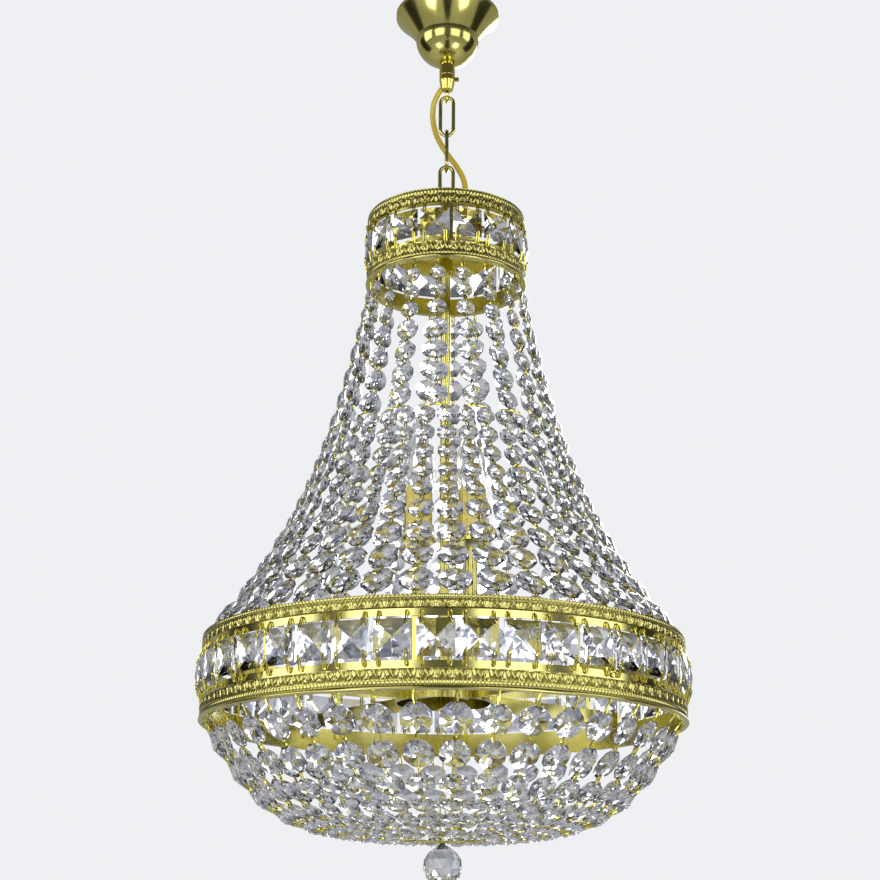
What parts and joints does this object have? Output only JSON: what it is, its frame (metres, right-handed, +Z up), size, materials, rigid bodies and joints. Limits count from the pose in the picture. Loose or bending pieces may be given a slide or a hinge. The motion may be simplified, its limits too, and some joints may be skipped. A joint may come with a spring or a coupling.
{
  "type": "crystal chandelier",
  "caption": "Crystal basket ceiling light: brass canopy, short chain and cord, crown, tent of cut crystal strings, square-set main ring, basket, ball and candle lamps.",
  "frame": {"origin": "centre of the ceiling bracket's two screw holes, on the ceiling plane", "axes": "+Z up into the ceiling, -Y towards the pictured front, +X to the viewer's right"},
  "size_m": [0.4864, 0.4864, 0.9435],
  "materials": {
    "polished_brass": "polished pale gold with a slight green cast",
    "bright_brass": "polished yellow gold",
    "embossed_brass": "polished pale gold, embossed with leaves",
    "lead_crystal": "clear, flat cut facets",
    "bulb_glass": "clear, smooth",
    "candle_gold": "fine upright ribs",
    "cord_plastic": "gold coloured PVC",
    "steel": "zinc plated",
    "nickel": "nickel plated",
    "white_plastic": "moulded",
    "wire_plastic": "insulated wire"
  },
  "bodies": {
    "ceiling_mount": {"ceiling_bracket": "steel", "hanger_tube": "polished_brass", "hanger_nuts": "steel", "terminal_block": "white_plastic", "lead_in_cord": "cord_plastic", "canopy_cup": "polished_brass", "canopy_collar": "bright_brass", "loop_nipple": "bright_brass", "nipple_set_screw": "polished_brass", "supply_cord": "cord_plastic"},
    "upper_link": {"chain_link_upper": "polished_brass"},
    "middle_link": {"chain_link_middle": "polished_brass"},
    "lower_link": {"chain_link_lower": "polished_brass"},
    "chandelier": {"basket_inner_crystals": "lead_crystal", "basket_outer_crystals": "lead_crystal", "basket_pins": "bright_brass", "bottom_ring": "polished_brass", "candle_cups": "polished_brass", "candle_sleeves": "candle_gold", "central_tube": "polished_brass", "crown_bottom_band": "embossed_brass", "crown_cord_bush": "white_plastic", "crown_loop": "polished_brass", "crown_plate": "bright_brass", "crown_spider": "polished_brass", "crown_spider_screws": "polished_brass", "crown_square_pins": "bright_brass", "crown_squares": "lead_crystal", "crown_struts": "polished_brass", "crown_top_band": "embossed_brass", "lamp_cable": "cord_plastic", "lamp_holders": "white_plastic", "lamp_hub": "polished_brass", "lamp_stem_nuts": "steel", "lamp_stems": "polished_brass", "lamp_wires": "wire_plastic", "main_bottom_band": "embossed_brass", "main_square_pins": "bright_brass", "main_squares": "lead_crystal", "main_struts": "bright_brass", "main_top_band": "embossed_brass", "ring_arm_screws": "polished_brass", "ring_arms": "polished_brass", "tent_double_large_crystals": "lead_crystal", "tent_double_small_crystals": "lead_crystal", "tent_pins": "bright_brass", "tent_single_crystals": "lead_crystal", "tube_end_nut": "bright_brass", "tube_nuts": "bright_brass"},
    "finial_strand": {"finial_chain": "polished_brass"},
    "finial": {"finial_cap": "bright_brass", "finial_ball": "lead_crystal"},
    "bulb_1": {"bulb_1_cap": "nickel", "bulb_1_glass": "bulb_glass"},
    "bulb_2": {"bulb_2_cap": "nickel", "bulb_2_glass": "bulb_glass"},
    "bulb_3": {"bulb_3_cap": "nickel", "bulb_3_glass": "bulb_glass"},
    "bulb_4": {"bulb_4_cap": "nickel", "bulb_4_glass": "bulb_glass"}
  },
  "joints": [
    {"name": "upper_link_swing", "type": "hinge", "parent": "ceiling_mount", "child": "upper_link", "pos_m": [0, 0, -0.107], "axis": [0, 1, 0], "range_deg": [-20, 20], "deforming": ["supply_cord"]},
    {"name": "middle_link_swing", "type": "hinge", "parent": "upper_link", "child": "middle_link", "pos_m": [0, 0, -0.1492], "axis": [1, 0, 0], "range_deg": [-20, 20], "deforming": ["supply_cord"]},
    {"name": "lower_link_swing", "type": "hinge", "parent": "middle_link", "child": "lower_link", "pos_m": [0, 0, -0.1914], "axis": [0, 1, 0], "range_deg": [-20, 20], "deforming": ["supply_cord"]},
    {"name": "chandelier_swing", "type": "hinge", "parent": "lower_link", "child": "chandelier", "pos_m": [0, 0, -0.2336], "axis": [1, 0, 0], "range_deg": [-20, 20], "deforming": ["supply_cord"]},
    {"name": "finial_chain_swing", "type": "hinge", "parent": "chandelier", "child": "finial_strand", "pos_m": [0, 0, -0.7827], "axis": [0, 1, 0], "range_deg": [-7, 7]},
    {"name": "finial_swing", "type": "hinge", "parent": "finial_strand", "child": "finial", "pos_m": [0, 0, -0.89615], "axis": [1, 0, 0], "range_deg": [-10, 10]},
    {"name": "bulb_1_draw", "type": "slide", "parent": "chandelier", "child": "bulb_1", "axis": [0, 0, 1], "range_m": [0, 0.025]},
    {"name": "bulb_2_draw", "type": "slide", "parent": "chandelier", "child": "bulb_2", "axis": [0, 0, 1], "range_m": [0, 0.025]},
    {"name": "bulb_3_draw", "type": "slide", "parent": "chandelier", "child": "bulb_3", "axis": [0, 0, 1], "range_m": [0, 0.025]},
    {"name": "bulb_4_draw", "type": "slide", "parent": "chandelier", "child": "bulb_4", "axis": [0, 0, 1], "range_m": [0, 0.025]}
  ]
}
